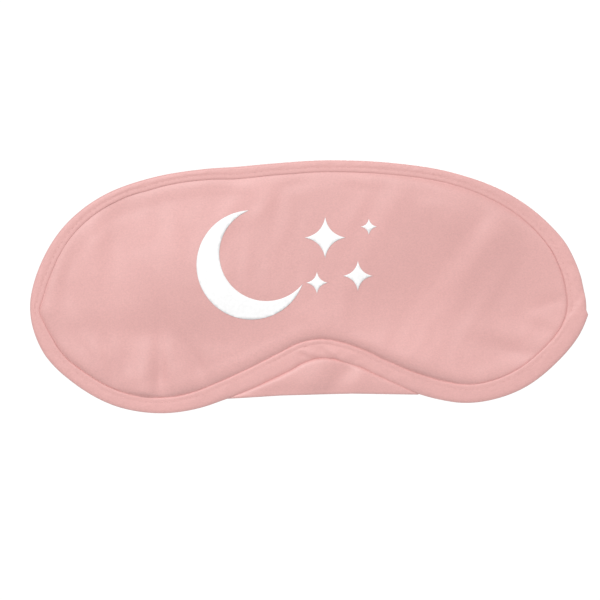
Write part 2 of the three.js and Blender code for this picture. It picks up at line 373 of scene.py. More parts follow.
def edge_from_binding():
    """Corners of the mask's edge in order round it, and the tape's width there."""
    points = node_points("edge_binding")
    front = points[:, 1].min()
    back = points[:, 1].max()
    rim = points[abs(points[:, 1] - (front + back) / 2) < 0.05][:, [0, 2]]
    gaps = np.linalg.norm(rim[:, None] - rim[None], axis=2)
    np.fill_diagonal(gaps, 1e9)
    centre = np.array((0.0, 10.0))
    reach = np.linalg.norm(rim - centre, axis=1)
    outer = rim[reach > reach[gaps.argmin(axis=1)]]
    outer = outer[np.argsort(np.arctan2(outer[:, 1] - centre[1], outer[:, 0] - centre[0]))]
    along = np.roll(outer, -1, axis=0) - np.roll(outer, 1, axis=0)
    inward = np.stack([-along[:, 1], along[:, 0]], axis=1)
    inward /= np.linalg.norm(inward, axis=1)[:, None]
    leg = points[abs(points[:, 1] - front) < 0.02][:, [0, 2]]
    widths = []
    for corner, normal in zip(outer, inward):
        offset = leg - corner
        depth = offset @ normal
        aside = abs(offset @ np.array((normal[1], -normal[0])))
        widths.append(depth[(aside < 0.3) & (depth > 2.5) & (depth < 12)].max())
    return outer, np.array(widths)


def catmull_rom(a, b, c, d, t):
    """The smooth curve through four points, at t of the way from b to c."""
    square = (2 * a - 5 * b + 4 * c - d) * t**2
    cube = (3 * b - a - 3 * c + d) * t**3
    return 0.5 * (2 * b + (c - a) * t + square + cube)


def periodic(values, places):
    """Smooth interpolation round a closed list."""
    i = np.floor(places).astype(int)
    t = (places - i).reshape(-1, *([1] * (values.ndim - 1)))
    a, b, c, d = (values[(i + k) % len(values)] for k in (-1, 0, 1, 2))
    return catmull_rom(a, b, c, d, t)


# Where the sewn edge departs from the CAD outline: x, z, reach, shift inwards and widening of the tape.
EDGE_CHANGES = [
    (101.9, 7.5, 7, 0.85, -0.4), (94, 25, 6, -0.35, 0.1), (-27, 53.4, 8, 0.35, 0.35),
    (0, 55, 32, 0, 0.25), (-59, 48.7, 5, 0, 0.25), (-102.3, -0.4, 3.6, 0, -0.95),
    (-98.5, -13, 6, 0, 0.6), (-98.5, 15, 12, 0.1, 0.25), (-42, -36, 14, 0, -0.35),
    (62, -33.4, 22, 0, -0.3), (93, -17, 14, 0, -0.2),
]


class Edge:
    """The mask's edge as even samples: points, inward normals, tape widths and length along it."""

    def __init__(self, count):
        corners, widths = edge_from_binding()
        places = np.arange(count) * len(corners) / count
        self.points = periodic(corners, places)
        self.widths = periodic(widths, places)
        moves = np.zeros(count)
        for x, z, reach, shift, widening in EDGE_CHANGES:
            share = np.exp(-((np.linalg.norm(self.points - (x, z), axis=1) / reach) ** 2))
            moves += share * shift
            self.widths += share * widening
        self.points += self.inward_normals() * moves[:, None]
        self.inward = self.inward_normals()
        steps = np.linalg.norm(np.roll(self.points, -1, axis=0) - self.points, axis=1)
        self.length = float(steps.sum())
        self.at = np.concatenate([[0], np.cumsum(steps)[:-1]])
        self.tree = KDTree(count)
        for i, (x, z) in enumerate(self.points):
            self.tree.insert((x, 0, z), i)
        self.tree.balance()

    def inward_normals(self):
        along = np.roll(self.points, -1, axis=0) - np.roll(self.points, 1, axis=0)
        along /= np.linalg.norm(along, axis=1)[:, None]
        return np.stack([-along[:, 1], along[:, 0]], axis=1)

    def nearest(self, x, z):
        """The nearest sample's index, and how far a point lies inside the edge there."""
        _, i, _ = self.tree.find((x, 0, z))
        offset = np.array((x, z)) - self.points[i]
        return i, float(offset @ self.inward[i])

    def depth(self, x, z):
        """How far a point lies inside the tape's inner edge."""
        i, inside_edge = self.nearest(x, z)
        return inside_edge - self.widths[i]

    def inset(self, extra):
        """The closed line that lies extra inside the tape's inner edge."""
        return self.points + self.inward * (self.widths + extra)[:, None]


edge = Edge(LOOP_COUNT)
tape_low, tape_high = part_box("edge_binding")
TAPE_FRONT = tape_low.y / MM
TAPE_BACK = tape_high.y / MM


# ---------------------------------------------------------------- covers and foam

# How strongly the simulated puckers and the listed folds count.
PUCKER_SHARE = 0.22
FOLD_SHARE = 1.25
# Soft folds of the front panel: x, z, direction in degrees, length, width and height.
FOLDS = [
    (56, 3, 5, 64, 32, -2.0), (54, 39, 162, 56, 26, 1.2), (58, 18, 54, 40, 9, 0.50),
    (54, 18, 60, 40, 12, -0.90), (45, 23, 56, 46, 16, -0.15), (67, 16, 54, 38, 10, -0.10),
    (66, 22, 60, 36, 16, 0.55), (88, 0, 60, 56, 30, -1.2), (36, -18, 162, 56, 16, 1.1),
    (76, -9, 168, 30, 7, 0.20), (74, -15, 165, 26, 7, -0.60), (88, 3, 20, 18, 5, -0.30),
    (88, -4, 155, 18, 5, 0.30), (72, -22, 150, 80, 36, -0.8), (60, -22, 120, 18, 6, -0.30),
    (-28, 36, 58, 30, 8, 0.40), (-16, 39, 60, 24, 6, 0.25), (28, 34, 64, 32, 10, 0.45),
    (18, 37, 62, 26, 6, 0.25), (-18, 4, 0, 50, 20, 0.60), (-67, 20, 80, 40, 26, -0.7),
    (-71, 26, 85, 32, 13, -0.95), (-81, 25, 70, 20, 8, 0.10), (-88, 12, 75, 36, 11, -0.85),
    (-89, 14, 60, 36, 12, 0.2), (-48, 14, 168, 66, 36, 1.5), (-64, -8, 178, 36, 10, -0.50),
    (-61, -25, 93, 34, 8, 0.70), (-54.5, -22, 89, 38, 5, -0.85), (-48.5, -23, 118, 28, 8, 0.45),
    (-40, -22, 120, 18, 6, -0.60), (-80.5, -20, 135, 20, 7, -0.3), (-70, -17, 100, 14, 6, 0.40),
    (-78, -14, 120, 12, 5, 0.40), (-71.5, -22, 105, 18, 6, -0.50), (-60, -31, 0, 10, 5, 0.90),
    (-84, -12, 160, 40, 12, -0.5), (-66, -18, 60, 40, 12, -0.70),
]


def fold_height(x, z, folds=FOLDS):
    """Height of soft folds, each the product of two bell curves, at a place."""
    total = 0.0
    for fx, fz, direction, length, width, height in folds:
        angle = math.radians(direction)
        dx, dz = x - fx, z - fz
        run = dx * math.cos(angle) + dz * math.sin(angle)
        side = -dx * math.sin(angle) + dz * math.cos(angle)
        total += height * math.exp(-((run / (length / 2)) ** 2) - (side / (width / 2)) ** 2)
    return total


def loft(depth, rise, near, crown, far):
    """Height over the seam at a depth inside the tape: a quick rise, then a slow crown."""
    d = max(depth, 0.0)
    return rise * (1 - math.exp(-d / near)) + crown * (1 - math.exp(-d / far))


def seam_swell(i):
    """How much more the panel swells beside its seam: along the lower left and the arch's right side."""
    facing = max(0.0, float(edge.inward[i] @ np.array((0.6, 0.8))))
    right = max(0.0, -float(edge.inward[i][0])) ** 2
    return 0.95 * facing + 0.5 * right


def seam_slack(i):
    """1 where the panel lies flat beside its seam, along the upper left."""
    return max(0.0, float(edge.inward[i] @ np.array((0.75, -0.66))))


def seam_height(x, z):
    """Height of the panel over its seam, without folds."""
    i, inside_edge = edge.nearest(x, z)
    depth = max(0.0, inside_edge - edge.widths[i])
    swell = seam_swell(i) * (1 - math.exp(-depth / 0.9)) * math.exp(-((depth / 12) ** 2))
    swell += seam_slack(i) * (0.45 * math.exp(-depth / 1.5) - 0.33) * math.exp(-((depth / 9) ** 2))
    return loft(depth, 0.8, 1.35, 0.6, 15.0) + swell


class Puckers:
    """The slack satin's own puckers, found by a cloth simulation, as offsets in y by place. The sheet is
    pinned at its rim and grows by the slack under a light pressure."""

    SPACING = 2.6
    SLACK = 0.045
    FRAMES = 22
    LARGEST = 1.6

    def __init__(self):
        self.tree = None
        points, triangles, rim_count = fill_loop(edge.inset(0.0)[::5], self.SPACING)
        heights = [TAPE_FRONT + SEAM_SINK - seam_height(x, z) for x, z in points]
        rest = [(x, y, z) for (x, z), y in zip(points, heights)]
        cloth = make_object("pucker_sheet", rest, triangles, bpy.data.materials.new("pucker_sheet"))
        pinned = cloth.vertex_groups.new(name="pinned")
        pinned.add(list(range(rim_count)), 1.0, "REPLACE")
        modifier = cloth.modifiers.new("cloth", "CLOTH")
        settings = modifier.settings
        settings.vertex_group_mass = "pinned"
        settings.shrink_min = -self.SLACK
        settings.tension_stiffness = 20
        settings.compression_stiffness = 20
        settings.bending_stiffness = 0.02
        settings.use_pressure = True
        settings.uniform_pressure_force = 0.6
        settings.effector_weights.gravity = 0
        scene = bpy.context.scene
        for step in range(1, self.FRAMES + 1):
            scene.frame_set(step)
        evaluated = cloth.evaluated_get(bpy.context.evaluated_depsgraph_get())
        moved = [v.co / MM for v in evaluated.data.vertices]
        scene.frame_set(1)
        lift = np.array([m.y - r[1] for m, r in zip(moved, rest)])
        bpy.data.objects.remove(cloth)
        self.lift = np.clip(lift - np.median(lift), -self.LARGEST, self.LARGEST)
        self.tree = KDTree(len(rest))
        for i, (x, _, z) in enumerate(rest):
            self.tree.insert((x, 0, z), i)
        self.tree.balance()

    def at(self, x, z):
        if self.tree is None:
            return 0.0
        near = self.tree.find_n((x, 0, z), 6)
        weights = [math.exp(-((distance / 2.2) ** 2)) for _, _, distance in near]
        return sum(w * self.lift[i] for w, (_, i, _) in zip(weights, near)) / sum(weights)


def fill_loop(loop, spacing, rings=()):
    """Even triangles inside a closed line, as points, triangles and the number of points on the line. The
    line's own points come first, then those of the rings in it."""
    low = loop.min(axis=0)
    high = loop.max(axis=0)
    row = spacing * math.sqrt(3) / 2
    inner = []
    for k in range(int((high[1] - low[1]) / row) + 1):
        z = low[1] + (k + 0.5) * row
        start = low[0] + (k % 2) * spacing / 2
        for x in np.arange(start, high[0], spacing):
            inner.append((x, z))
    inner = np.array(inner)
    last = rings[-1] if len(rings) else loop
    inner = inner[inside(inner, last)]
    gaps = np.array([np.linalg.norm(last - p, axis=1).min() for p in inner])
    inner = inner[gaps > spacing * 0.55]
    points = [tuple(p) for p in np.vstack([loop, *rings, inner])]
    rim = [(i, (i + 1) % len(loop)) for i in range(len(loop))]
    made = delaunay_2d_cdt([Vector(p) for p in points], rim, [], 1, 1e-5)
    return [tuple(v) for v in made[0]], [list(f) for f in made[2]], len(loop)


def inside(points, loop):
    """Whether each point lies inside the closed line."""
    x, z = points.T
    result = np.zeros(len(points), bool)
    for (ax, az), (bx, bz) in zip(loop, np.roll(loop, -1, axis=0)):
        if az == bz:
            continue
        crosses = ((az > z) != (bz > z)) & (x < (bx - ax) * (z - az) / (bz - az) + ax)
        result ^= crosses
    return result


def panel_y(x, z):
    """y of the front panel's face."""
    depth = edge.depth(x, z)
    fade = min(1.0, max(0.0, depth) / 6.0)
    height = seam_height(x, z)
    height += FOLD_SHARE * fold_height(x, z) * (0.15 + 0.85 * (1 - math.exp(-max(0.0, depth) / 2)))
    height += 0.16 * fractal(x / 26, z / 26, 0, 1) * fade
    return TAPE_FRONT + SEAM_SINK - height + puckers.at(x, z) * fade * PUCKER_SHARE


def slab_object(name, front, back, triangles, rim, material):
    """A closed slab between two layers of points that share their triangles. The first rim points are its
    outline."""
    count = len(front)
    faces = [tuple(t) for t in triangles]
    faces += [tuple(count + i for i in reversed(t)) for t in triangles]
    faces += [(i, count + i, count + (i + 1) % rim, (i + 1) % rim) for i in range(rim)]
    slab = make_object(name, front + back, faces, material)
    fix_normals(slab)
    return slab


# Rings of points beside the seam, as distances inside the tape's inner edge, and where the cloth ends.
SEAM_RINGS = (-0.1, 0.35, 0.8, 1.3, 1.9, 2.6)
CLOTH_END = -1.2


def add_cover(name, node, spacing, face_y, inwards, material):
    """A ply of cloth across the mask and under its tape: a sheet stretched over the foam."""
    rings = [edge.inset(extra)[::2] for extra in SEAM_RINGS]
    points, triangles, rim = fill_loop(edge.inset(CLOTH_END)[::2], spacing, rings)
    outer = [(x, face_y(x, z), z) for x, z in points]
    inner = [(x, y + inwards * SATIN, z) for x, y, z in outer]
    cover = slab_object(name, outer, inner, triangles, rim, material)
    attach(cover, "mask")
    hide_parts(node)


def lining_y(x, z):
    """y of the back lining's face, which is on the wearer's side."""
    i, inside_edge = edge.nearest(x, z)
    depth = max(0.0, inside_edge - edge.widths[i])
    fade = min(1.0, depth / 6.0)
    height = loft(depth, 0.35, 1.8, 0.45, 10.0) + 0.10 * fractal(x / 18, z / 18, 0, 5) * fade
    height -= ARCH_THINNING * arch_back(edge.points[i]) * math.exp(-depth / 7)
    return max(min(TAPE_BACK - 0.35 + height, 0.3), panel_y(x, z) + 2 * SATIN + 0.3)


def add_foam():
    """The pad fills the space between the covers and thins out under the tape."""
    points, triangles, rim = fill_loop(edge.inset(-0.8)[::4], 2.4)
    gap = 0.06
    front = []
    back = []
    for x, z in points:
        near = panel_y(x, z) + SATIN + gap
        far = lining_y(x, z) - SATIN - gap
        taper = math.exp(-max(edge.depth(x, z), 0.0) / 3)
        front.append((x, near + min(0.6 * taper, 0.35 * (far - near)), z))
        back.append((x, far - min(0.4 * taper, 0.3 * (far - near)), z))
    foam = slab_object("foam_pad", front, back, triangles, rim, foam_stuff)
    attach(foam, "mask")
    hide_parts("foam_core")


# ---------------------------------------------------------------- binding

def binding_section(width, pull, back):
    """The tape's outer face, from its front inner edge round the fold to its back one. Each point is its
    inset from the mask's edge, its y and how much of the ripples it takes. The stitches draw the tape in
    by pull."""
    front = TAPE_FRONT
    slim = (TAPE_BACK - back) / ARCH_THINNING
    groove = width - STITCH_INSET

    def rim(inset):
        return inset, front - 0.14 + (0.75 + 0.3 * slim) * math.exp(-inset / (0.38 + 0.3 * slim))

    front_leg = [
        (width, front + 0.30, 0.2), (width - 0.12, front + 0.10, 0.4),
        (width - 0.45, front - 0.06, 0.8), (width - 1.0, front - 0.08, 0.6),
        (groove + 0.3, front - 0.07 + pull * 0.5, 0.4), (groove, front - 0.07 + pull, 0.2),
        (groove - 0.3, front - 0.08 + pull * 0.5, 0.4), (*rim(groove * 0.8), 0.9),
        (*rim(groove * 0.6), 1.0), (*rim(groove * 0.4), 1.0), (*rim(groove * 0.24), 0.9),
        (*rim(0.35), 0.7), (*rim(0.12), 0.5),
    ]
    fold = [(0.02, front + 1.0, 0.3), (0.0, (front + back) / 2, 0.3), (0.02, back - 0.9, 0.3)]
    back_leg = [
        (0.12, back - 0.55, 0.5), (0.35, back - 0.22, 0.7), (0.8, back - 0.02, 0.9),
        (groove * 0.4, back + 0.06, 0.9), (groove * 0.6, back + 0.12, 0.9),
        (groove * 0.8, back + 0.06, 0.8), (groove - 0.3, back - 0.05, 0.3),
        (groove, back - 0.14, 0.2), (groove + 0.25, back - 0.05, 0.3),
        (width - 1.0, back + 0.05, 0.8), (width - 0.45, back + 0.04, 0.8),
        (width - 0.12, back - 0.10, 0.4), (width, back - 0.28, 0.2),
    ]
    return front_leg + fold + back_leg


def tape_ripple(at, inset, side):
    """Fine uneven puckers of the bias tape, running slantwise across it."""
    slant = at + inset * 1.1 * side
    fine = 0.10 * fractal(slant / 3.2, inset / 6, side, 7, 2)
    coarse = 0.07 * fractal(slant / 9, side, 0, 9, 2)
    return fine + coarse


# Creases of the tape where it turns round the nose arch, as for the front panel.
TAPE_CREASES = [
    (-2, -14.8, 168, 10, 1.2, 0.45), (-1, -16.2, 160, 9, 1.1, -0.45), (9, -15.6, 142, 15, 1.4, 0.45),
    (11, -18.4, 145, 14, 1.3, -0.40), (3, -13.2, 178, 14, 1.0, -0.20),
]

# The tape's end is folded on a slant over its beginning, at the wearer's left temple. Its thickness, and
# how far its corner stands out of the outline.
JOIN_START = (95.6, -1.2)
JOIN_END = (99.8, 5.3)
JOIN_TIP = (102.0, -0.9)
JOIN_HEIGHT = 0.42
JOIN_CORNER = 0.85


def join_lift(x, z):
    """Height of the folded end over the tape beneath it."""
    sx, sz = JOIN_START
    run = np.array((JOIN_END[0] - sx, JOIN_END[1] - sz))
    run /= np.linalg.norm(run)
    over = (x - sx) * run[1] - (z - sz) * run[0]
    if over < 0 or x < 80:
        return 0.0
    step = min(1.0, over / 0.6)
    return JOIN_HEIGHT * step * step * (3 - 2 * step) * math.exp(-max(0.0, sz - z) / 9)


def join_bump(at):
    """How far the folded end's corner stands out of the outline."""
    _, tip, _ = edge.tree.find((JOIN_TIP[0], 0, JOIN_TIP[1]))
    past = at - edge.at[tip]
    if past < 0:
        return JOIN_CORNER * math.exp(past / 4)
    return JOIN_CORNER * max(0.0, 1 - past / 1.6)


def arch_share(point):
    """1 at the top of the nose arch, 0 away from it."""
    return math.exp(-(((point[0] - 3) / 14) ** 2)) if point[1] < 0 else 0.0


def arch_back(point):
    """1 along the nose arch, where the mask is thinner at the back and the flap lies against it."""
    if point[1] > -8:
        return 0.0
    return 1 / (1 + math.exp(-(point[0] + 34) / 3)) / (1 + math.exp((point[0] - 44) / 3))


def stitch_pull(point):
    """How far the stitches draw the tape in. They show most where the tape gathers round the arch."""
    return 0.03 + 0.17 * arch_share(point)


def inner_face(section):
    """The tape's inner face, one thickness inside the outer one, as insets and heights."""
    points = np.array([(inset, y) for inset, y, _ in section])
    along = np.gradient(points, axis=0)
    normal = np.stack([along[:, 1], -along[:, 0]], axis=1)
    normal /= np.linalg.norm(normal, axis=1)[:, None]
    return points + normal * TAPE


def binding_ring(k):
    """The tape's closed section at one sample of the edge. It is most rumpled at the arch and the join."""
    place = edge.points[k]
    inward = edge.inward[k]
    at = edge.at[k]
    width = edge.widths[k] + 0.10 * fractal(at / 7, 0, 0, 3, 2)
    back = TAPE_BACK - ARCH_THINNING * arch_back(place)
    section = binding_section(width, stitch_pull(place), back)
    ring = []
    for inset, y, puff in section:
        side = -1 if y < (TAPE_FRONT + back) / 2 else 1
        x, z = place + inward * (inset - join_bump(at) * (1 - inset / width))
        rumple = 1 + 2 * arch_share(place) + max(0.0, x - 85) / 12
        lift = puff * (tape_ripple(at, inset, side) * rumple + fold_height(x, z, TAPE_CREASES))
        if side < 0:
            lift += join_lift(x, z)
        ring.append((x, y + side * lift, z))
    for inset, y in inner_face(section)[::-1]:
        x, z = place + inward * inset
        ring.append((x, y, z))
    return ring


def add_binding():
    rings = [binding_ring(k) for k in range(LOOP_COUNT)]
    vertices, faces = rings_mesh(rings, True, True)
    binding = make_object("bias_binding", vertices, faces, tape_satin)
    fix_normals(binding)
    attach(binding, "mask")
    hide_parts("edge_binding")


# ---------------------------------------------------------------- stitching

STITCH_SIDES = 6
STITCH_STEPS = 5


def stitch_rings(start, end, out, gap_share, radius, sink):
    """One stitch from start to end: a thread that rises out of the cloth and goes back into it."""
    axis = end - start
    side = np.cross(axis, out)
    side /= np.linalg.norm(side)
    angles = np.linspace(0, 2 * math.pi, STITCH_SIDES, endpoint=False)
    rings = []
    for j in range(STITCH_STEPS + 1):
        share = j / STITCH_STEPS
        arch = math.sin(math.pi * share)
        run = axis * (gap_share + (1 - 2 * gap_share) * share)
        middle = start + run + out * (arch * radius * 1.1 - sink)
        size = radius * (0.45 + 0.55 * math.sqrt(max(arch, 0)))
        rings.append([middle + size * (math.cos(a) * side + math.sin(a) * out) for a in angles])
    return rings


def stitch_row(name, node, stitches, gap_share, radius, sink):
    """A row of single stitches, each from one point to another with its outward direction."""
    vertices = []
    faces = []
    for start, end, out in stitches:
        rings = stitch_rings(np.array(start), np.array(end), np.array(out), gap_share, radius, sink)
        base = len(vertices)
        more, quads = rings_mesh(rings, False, True)
        vertices += more
        faces += [tuple(base + i for i in q) for q in quads]
        faces.append(tuple(base + i for i in reversed(range(STITCH_SIDES))))
        faces.append(tuple(base + STITCH_STEPS * STITCH_SIDES + i for i in range(STITCH_SIDES)))
    row = make_object(name, vertices, faces, thread)
    fix_normals(row)
    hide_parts(node)
    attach(row, "mask")


def binding_stitches(name, node, y, out):
    """The row through the tape on one side of the mask, out being -1 at the front and 1 at the back."""
    count = int(round(edge.length / STITCH_PITCH))
    places = np.arange(count + 1) * LOOP_COUNT / count
    line = edge.points + edge.inward * (edge.widths - STITCH_INSET)[:, None]
    points = periodic(line, places % LOOP_COUNT)
    stitches = []
    for a, b in zip(points[:-1], points[1:]):
        level = y - out * stitch_pull(a)
        if out > 0:
            level -= ARCH_THINNING * arch_back(a)
        stitches.append(((a[0], level, a[1]), (b[0], level, b[1]), (0, out, 0)))
    stitch_row(name, node, stitches, gap_share=0.16, radius=0.11, sink=0.11)


# ---------------------------------------------------------------- nose flap

# The flap's lower edge, its top, its front ply's y at rest and the distance between its plies.
FLAP_LOWER = [
    (-40.5, -22), (-39, -28), (-36.5, -31), (-31, -32), (-10, -30.7), (16, -30), (40, -30.4),
    (45, -29), (47.5, -26), (48.5, -21),
]
FLAP_TOP_Z = -3.7
FLAP_FRONT_Y = 0.30
FLAP_PLY_GAP = 0.80
FLAP_ROWS = 52
# How far the free part comes forward, nearly level with the tape, and how far it tucks under the tape.
FLAP_FORWARD = 2.5
FLAP_TUCK = 0.9
# The seam that holds the flap to the lining.
FLAP_SEAM_X = (-38, 45.9)
FLAP_SEAM_Z = -5.0
# Soft folds of the flap, as for the front panel.
FLAP_FOLDS = [
    (3, -23, 50, 20, 9, 0.65), (12, -24, 50, 20, 7, -0.75), (19, -24, 60, 20, 7, 0.50),
    (-14, -27, 25, 24, 6, 0.45), (4, -30.5, 0, 70, 6, -0.8),
]


def flap_bulge(x, z):
    """The flap comes forward where the nose arch leaves it free."""
    i, inside_edge = edge.nearest(x, z)
    share = min(1.0, max(0.0, 1 - (inside_edge - 2) / 7))
    outside = max(0.0, FLAP_TUCK - inside_edge)
    free = 1 - 0.8 * math.exp(-outside / 0.45) - 0.2 * math.exp(-outside / 8)
    forward = (ARCH_THINNING + 0.35) * arch_back(edge.points[i]) * share * share * (3 - 2 * share)
    return -forward - free * (FLAP_FORWARD + fold_height(x, z, FLAP_FOLDS))


def flap_ring(x, bottom):
    """Down the front ply, round the lower fold and up the back ply, at one x."""
    levels = [FLAP_TOP_Z + (bottom - FLAP_TOP_Z) * k / FLAP_ROWS for k in range(FLAP_ROWS + 1)]
    radius = FLAP_PLY_GAP / 2
    line = [(FLAP_FRONT_Y, z) for z in levels]
    for angle in (45, 90, 135):
        a = math.radians(angle)
        line.append((FLAP_FRONT_Y + radius * (1 - math.cos(a)), bottom - radius * math.sin(a)))
    line += [(FLAP_FRONT_Y + FLAP_PLY_GAP, z) for z in reversed(levels)]
    return [(x, y + flap_bulge(x, z) + 0.06 * fractal(x / 14, z / 14, 0, 21), z) for y, z in line]


def add_nose_flap():
    """Two plies of satin with a folded lower edge, sewn to the lining along the top."""
    rings = []
    lower_x, lower_z = zip(*FLAP_LOWER)
    for x in np.arange(FLAP_LOWER[0][0], FLAP_LOWER[-1][0] + 0.5, 0.6):
        rings.append(flap_ring(x, float(np.interp(x, lower_x, lower_z)) + FLAP_PLY_GAP / 2))
    vertices, faces = rings_mesh(rings, False, False)
    flap = make_object("nose_flap_cloth", vertices, faces, satin)
    solid = flap.modifiers.new("cloth_thickness", "SOLIDIFY")
    solid.thickness = SATIN * MM
    solid.offset = 0
    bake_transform(flap)
    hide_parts("nose_flap")


def add_flap_stitches():
    y = FLAP_FRONT_Y + FLAP_PLY_GAP + SATIN / 2
    stitches = []
    for x in np.arange(*FLAP_SEAM_X, STITCH_PITCH):
        stitches.append(((x, y, FLAP_SEAM_Z), (x + STITCH_PITCH, y, FLAP_SEAM_Z), (0, 1, 0)))
    stitch_row("flap_stitches", "flap_stitch", stitches, gap_share=0.14, radius=0.2, sink=0.05)


# ---------------------------------------------------------------- elastic strap and slider

STRAP_Z = 4.0
STRAP_WIDTH = 12.0
STRAP_THICK = 1.0
RIBS = 9
RIB_HEIGHT = 0.09
# The sewn ends lie flat on the tape from SEAT_END to SEAT_X.
SEAT_X = 89.0
SEAT_Y = 0.85
SEAT_END = 99.0
# Behind the mask the strap bows out to the slider. PLY is the distance between two of its layers.
BOW = 50.0
BOW_END_X = 20.0
PLY = 1.6
# The strap's middle where it passes over or under a bar of the slider.
OVER_BAR = 2.05
TAIL_START = 9.0
TAIL_LIFT = 3.45


def bow_at(x):
    """y of the strap's middle between the tape and the slider."""
    share = min(1.0, max(0.0, (SEAT_X - abs(x)) / (SEAT_X - BOW_END_X)))
    return SEAT_Y + (BOW - PLY / 2 - SEAT_Y) * (1 - math.cos(math.pi * share)) / 2


def tail_at(x):
    """y of the free tail's middle."""
    return BOW + TAIL_LIFT - 2 * ((x - 11) / 33) ** 2


def strap_run(side):
    """Corners from the sewn end to the slider, on one side of the mask."""
    run = [(side * SEAT_END, SEAT_Y), (side * 93, SEAT_Y)]
    for k in range(13):
        x = SEAT_X + (BOW_END_X - SEAT_X) * k / 12
        run.append((side * x, bow_at(x)))
    return run


def smooth_path(corners, steps):
    """A smooth open curve through the corners, as even samples about 0.7 apart."""
    points = np.array(corners, float)
    padded = np.vstack([2 * points[0] - points[1], points, 2 * points[-1] - points[-2]])
    path = []
    for i in range(len(points) - 1):
        a, b, c, d = padded[i:i + 4]
        for t in np.arange(steps) / steps:
            path.append(catmull_rom(a, b, c, d, t))
    path.append(points[-1])
    path = np.array(path)
    length = np.concatenate([[0], np.cumsum(np.linalg.norm(np.diff(path, axis=0), axis=1))])
    even = np.linspace(0, length[-1], max(8, int(length[-1] / 0.7)))
    return np.stack([np.interp(even, length, path[:, 0]), np.interp(even, length, path[:, 1])], axis=1)


def elastic_band(name, corners, seed):
    """A ribbed woven band that follows corners in the XY plane, with its width along Z, and its length."""
    path = smooth_path(corners, 12)
    along = np.gradient(path, axis=0)
    along /= np.linalg.norm(along, axis=1)[:, None]
    across = np.stack([-along[:, 1], along[:, 0]], axis=1)
    count = 54
    heights = np.linspace(-0.5, 0.5, count)
    rings = []
    for k, (p, n) in enumerate(zip(path, across)):
        ring = []
        swell = 1 + 0.012 * fractal(k / 9, 0, 0, seed)
        for face in (1, -1):
            for h in heights[::face]:
                rib = RIB_HEIGHT * abs(math.sin(math.pi * RIBS * (h + 0.5)))
                edge_round = 1 - max(0.0, (abs(h) - 0.46) / 0.04) ** 2 * 0.6
                ripple = 0.04 * fractal(k / 2.2, h * 6, face, seed, 2)
                off = face * ((STRAP_THICK / 2 - RIB_HEIGHT + rib) * edge_round + ripple)
                z = STRAP_Z + h * STRAP_WIDTH * swell
                ring.append((p[0] + n[0] * off, p[1] + n[1] * off, z))
        rings.append(ring)
    vertices, faces = rings_mesh(rings, False, True)
    size = len(rings[0])
    faces.append(tuple(range(size)))
    faces.append(tuple(reversed(range((len(rings) - 1) * size, len(rings) * size))))
    band = make_object(name, vertices, faces, elastic)
    fix_normals(band)
    length = float(np.linalg.norm(np.diff(path, axis=0), axis=1).sum())
    return band, length


def add_strap_right():
    """It turns round the slider's right bar and is sewn to itself."""
    turn = 7.15
    path = strap_run(1)[:-1]
    path += [
        (BOW_END_X, bow_at(BOW_END_X)), (15.5, BOW - 1.2), (11, BOW - OVER_BAR), (8.9, BOW - OVER_BAR),
        (turn + 0.3, BOW - 1.65), (turn, BOW), (turn + 0.3, BOW + 1.65), (8.9, BOW + OVER_BAR),
        (11, BOW + OVER_BAR), (15.5, BOW + 1.65), (20, bow_at(20) + PLY), (26, bow_at(26) + PLY),
    ]
    band, length = elastic_band("elastic_right", path, 31)
    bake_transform(band)
    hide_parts("strap_right")


def add_strap_left():
    """It weaves over the left bar, under the middle one and out over the right one, into the tail."""
    path = strap_run(-1)
    path += [
        (-11, BOW + OVER_BAR), (-8.6, BOW + OVER_BAR), (-7.5, BOW + 1.75), (-4.75, BOW), (-2, BOW - 1.75),
        (0, BOW - OVER_BAR), (2, BOW - 1.75), (4, BOW + 0.7), (7, tail_at(11) - 0.3),
        (TAIL_START, tail_at(11) - 0.05),
    ]
    band, length = elastic_band("elastic_left", path, 32)
    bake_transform(band)
    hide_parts("strap_left")


def add_tail():
    """The strap's free end, hemmed by folding it under."""
    path = [
        (TAIL_START, tail_at(11) - 0.05), (11, tail_at(11)), (14, tail_at(14)), (22, tail_at(22)),
        (32, tail_at(32)), (39, tail_at(39)), (43.2, tail_at(43.2)), (44, tail_at(44) - 0.6),
        (43.2, tail_at(44) - 1.15), (41, tail_at(41) - 1.15), (36, tail_at(36) - 1.1),
    ]
    band, length = elastic_band("elastic_tail", path, 33)
    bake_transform(band)
    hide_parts("strap_tail")


def rounded_loop(left, right, low, high, radius):
    """A rectangle with rounded corners."""
    corners = [
        (right - radius, high - radius, 0), (left + radius, high - radius, 90),
        (left + radius, low + radius, 180), (right - radius, low + radius, 270),
    ]
    loop = []
    for x, z, start in corners:
        for a in np.radians(np.linspace(start, start + 90, 9)):
            loop.append((x + radius * math.cos(a), z + radius * math.sin(a)))
    return loop


